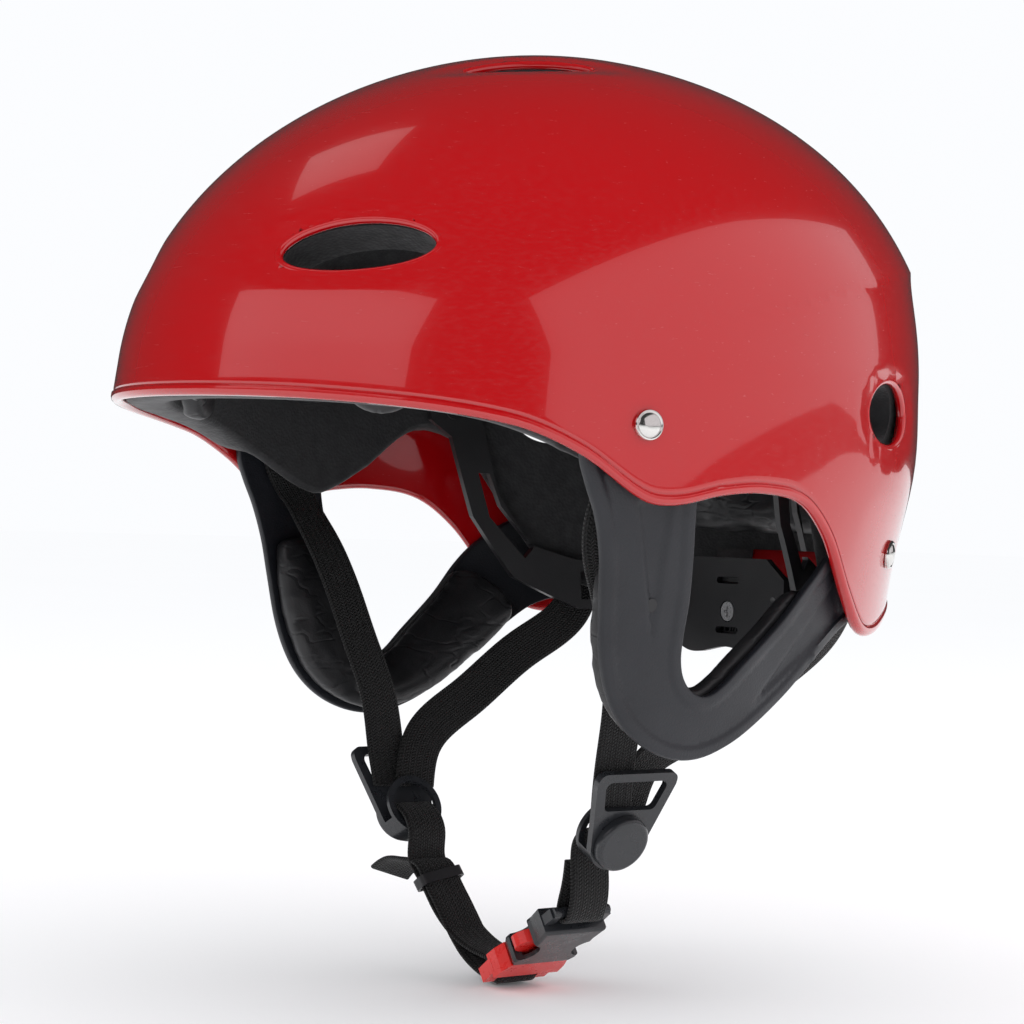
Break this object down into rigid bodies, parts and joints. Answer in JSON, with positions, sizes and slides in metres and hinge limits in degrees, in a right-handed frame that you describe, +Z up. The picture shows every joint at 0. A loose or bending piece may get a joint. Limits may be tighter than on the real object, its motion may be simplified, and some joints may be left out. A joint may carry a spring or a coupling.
{
  "type": "water helmet",
  "caption": "Hard-shell water-sports helmet with vents, foam liner, removable padded ear guards, a nape fit dial and a chin harness with a side-release buckle.",
  "frame": {"origin": "on the mid-plane, level with the widest section of the shell, in the middle of the head cavity", "axes": "+Z up, -Y the way the face looks, +X the wearer's left"},
  "size_m": [0.2248, 0.2841, 0.3067],
  "materials": {
    "shell_red": "high-gloss moulded shell",
    "eva_black": "closed-cell foam",
    "pad_leatherette": "black leatherette over foam",
    "guard_charcoal": "fine-grain moulded plastic",
    "fit_black": "satin moulded plastic",
    "webbing_black": "woven ribbon webbing",
    "nickel": "bright nickel plating",
    "steel": "plain steel",
    "buckle_grey": "satin acetal",
    "buckle_red": "bright acetal"
  },
  "bodies": {
    "helmet": {"outer_shell": "shell_red", "eva_liner": "eva_black", "brow_pad": "pad_leatherette", "crown_pad": "pad_leatherette", "side_pad_left": "pad_leatherette", "side_pad_right": "pad_leatherette", "nape_pad": "pad_leatherette", "shell_rivets": "nickel", "rivet_washers": "steel", "band_arm_left": "fit_black", "band_arm_right": "fit_black", "band_arm_pegs": "fit_black", "nape_cradle": "fit_black", "dial_housing": "fit_black", "front_strap_left": "webbing_black", "rear_strap_left": "webbing_black", "strap_divider_left": "fit_black", "divider_cap_left": "fit_black", "chin_strap_left": "webbing_black", "buckle_body": "buckle_grey"},
    "guard_left": {"ear_guard_left": "guard_charcoal", "ear_pad_left": "pad_leatherette", "ear_pad_studs_left": "fit_black"},
    "guard_right": {"ear_guard_right": "guard_charcoal", "ear_pad_right": "pad_leatherette", "ear_pad_studs_right": "fit_black"},
    "dial": {"dial_knob": "fit_black", "dial_pinion": "fit_black", "dial_screw": "steel"},
    "rack_left": {"rack_left": "fit_black"},
    "rack_right": {"rack_right": "fit_black"},
    "harness_right": {"front_strap_right": "webbing_black", "rear_strap_right": "webbing_black", "strap_divider_right": "fit_black", "divider_cap_right": "fit_black", "chin_strap_right": "webbing_black", "buckle_plug": "buckle_red"},
    "keeper": {"strap_keeper": "fit_black"},
    "prong_front": {"buckle_prong_front": "buckle_red"},
    "prong_rear": {"buckle_prong_rear": "buckle_red"}
  },
  "joints": [
    {"name": "guard_left_pull", "type": "slide", "parent": "helmet", "child": "guard_left", "axis": [0, -0.1483, -0.9889], "range_m": [0, 0.05]},
    {"name": "guard_right_pull", "type": "slide", "parent": "helmet", "child": "guard_right", "axis": [0, -0.1483, -0.9889], "range_m": [0, 0.05]},
    {"name": "dial_turn", "type": "hinge", "parent": "helmet", "child": "dial", "pos_m": [0, 0.1, -0.078], "axis": [0, -1, 0], "range_deg": [0, 57]},
    {"name": "rack_left_slide", "type": "slide", "parent": "helmet", "child": "rack_left", "axis": [-1, 0, 0], "range_m": [0, 0.006]},
    {"name": "rack_right_slide", "type": "slide", "parent": "helmet", "child": "rack_right", "axis": [1, 0, 0], "range_m": [0, 0.006]},
    {"name": "buckle_release", "type": "hinge", "parent": "helmet", "child": "harness_right", "pos_m": [-0.1018, -0.0297, -0.0198], "axis": [0.2154, 0.9351, -0.2816], "range_deg": [0, 6], "deforming": ["buckle_prong_rear", "buckle_prong_front", "front_strap_right", "rear_strap_right"]},
    {"name": "keeper_slide", "type": "slide", "parent": "harness_right", "child": "keeper", "axis": [0.5597, 0.1679, -0.8115], "range_m": [0, 0.005]},
    {"name": "prong_rear_squeeze", "type": "hinge", "parent": "harness_right", "child": "prong_rear", "pos_m": [0.0121, 0.0116, -0.19026], "axis": [0.5736, 0, -0.8191], "range_deg": [0, 10], "stiffness_Nm_per_rad": 0.02},
    {"name": "prong_front_squeeze", "type": "hinge", "parent": "harness_right", "child": "prong_front", "pos_m": [0.0121, -0.0016, -0.19026], "axis": [-0.5736, 0, 0.8191], "range_deg": [0, 10], "stiffness_Nm_per_rad": 0.02}
  ],
  "couplings": [
    {"joint": "rack_left_slide", "follows": "dial_turn", "m_per_rad": 0.00573},
    {"joint": "rack_right_slide", "follows": "dial_turn", "m_per_rad": 0.00573},
    {"joint": "prong_front_squeeze", "follows": "prong_rear_squeeze", "ratio": 1}
  ]
}
